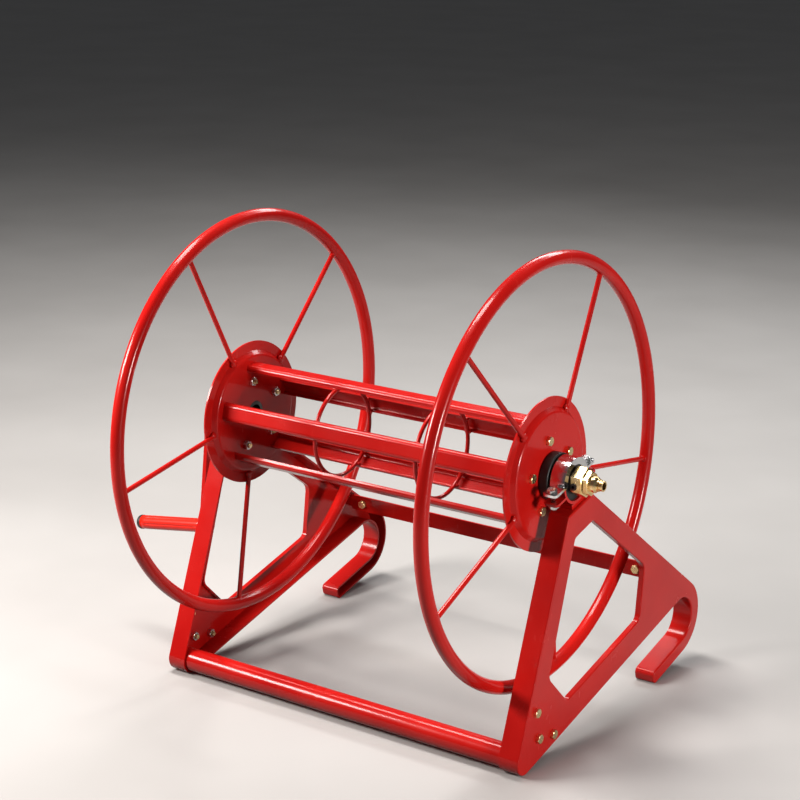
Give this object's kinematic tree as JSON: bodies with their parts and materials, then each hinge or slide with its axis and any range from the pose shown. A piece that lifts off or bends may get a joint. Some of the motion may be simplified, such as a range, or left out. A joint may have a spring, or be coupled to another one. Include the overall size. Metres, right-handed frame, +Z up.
{
  "type": "hose reel",
  "caption": "Hand-cranked hose reel: wheel-sided slatted drum on two pressed side frames with rear hooks, a front tube, a crank and a swivel water inlet.",
  "frame": {"origin": "on the floor under the middle of the reel's overall box", "axes": "+X along the drum's axle towards the water inlet, +Y to the rear where the hooks are, +Z up"},
  "size_m": [0.6656, 0.5594, 0.5638],
  "materials": {
    "red_paint": "glossy red powder coat on pressed steel, tube and wire",
    "grip_red": "glossy red moulded grip",
    "yellow_zinc": "yellow passivated zinc plating",
    "bright_zinc": "bright zinc plating",
    "chrome_clamp": "bright plated strap",
    "black_bush": "black moulded plastic",
    "brass": "turned brass",
    "machined_steel": "turned steel, lightly oiled",
    "dark_steel": "blackened steel",
    "seal_rubber": "black rubber",
    "black_cap": "black moulded plastic"
  },
  "bodies": {
    "stand": {"right_side_frame": "red_paint", "left_side_frame": "red_paint", "front_tube": "red_paint", "right_tube_plate": "red_paint", "left_tube_plate": "red_paint", "foot_bolts": "yellow_zinc", "foot_nuts": "bright_zinc", "rear_strap": "red_paint", "strap_tabs": "red_paint", "strap_bolts": "yellow_zinc", "strap_nuts": "bright_zinc", "right_bearing_saddle": "red_paint", "left_bearing_saddle": "red_paint", "right_bearing_clamp": "chrome_clamp", "left_bearing_clamp": "chrome_clamp", "right_bearing_bush": "black_bush", "left_bearing_bush": "black_bush", "clamp_bolts": "bright_zinc", "clamp_nuts": "bright_zinc"},
    "drum": {"right_disc": "red_paint", "left_disc": "red_paint", "right_rim": "red_paint", "left_rim": "red_paint", "right_spokes": "red_paint", "left_spokes": "red_paint", "slat_1": "red_paint", "slat_2": "red_paint", "slat_3": "red_paint", "slat_4": "red_paint", "slat_5": "red_paint", "right_wire_ring": "red_paint", "left_wire_ring": "red_paint", "hub_bolts": "yellow_zinc", "hub_nuts": "bright_zinc", "left_axle": "machined_steel", "right_spindle": "machined_steel", "swivel_body": "brass", "swivel_screw": "dark_steel", "swivel_clip": "dark_steel", "outlet_elbow": "brass", "outlet_tail": "brass", "crank_arm": "red_paint", "crank_washer": "bright_zinc", "crank_nut": "bright_zinc", "grip_pin": "bright_zinc"},
    "inlet": {"inlet_tail": "brass", "inlet_seal": "seal_rubber", "inlet_nut": "brass"},
    "grip": {"grip_sleeve": "grip_red", "grip_end_cap": "black_cap"}
  },
  "joints": [
    {"name": "drum_spin", "type": "hinge", "parent": "stand", "child": "drum", "pos_m": [0.04881, -0.02969, 0.31386], "axis": [1, 0, 0], "continuous": true},
    {"name": "inlet_swivel", "type": "hinge", "parent": "drum", "child": "inlet", "pos_m": [0.31301, -0.02969, 0.31386], "axis": [1, 0, 0], "continuous": true},
    {"name": "grip_spin", "type": "hinge", "parent": "drum", "child": "grip", "pos_m": [-0.22419, -0.0488, 0.15823], "axis": [-0.9884, -0.0185, -0.151], "continuous": true}
  ]
}
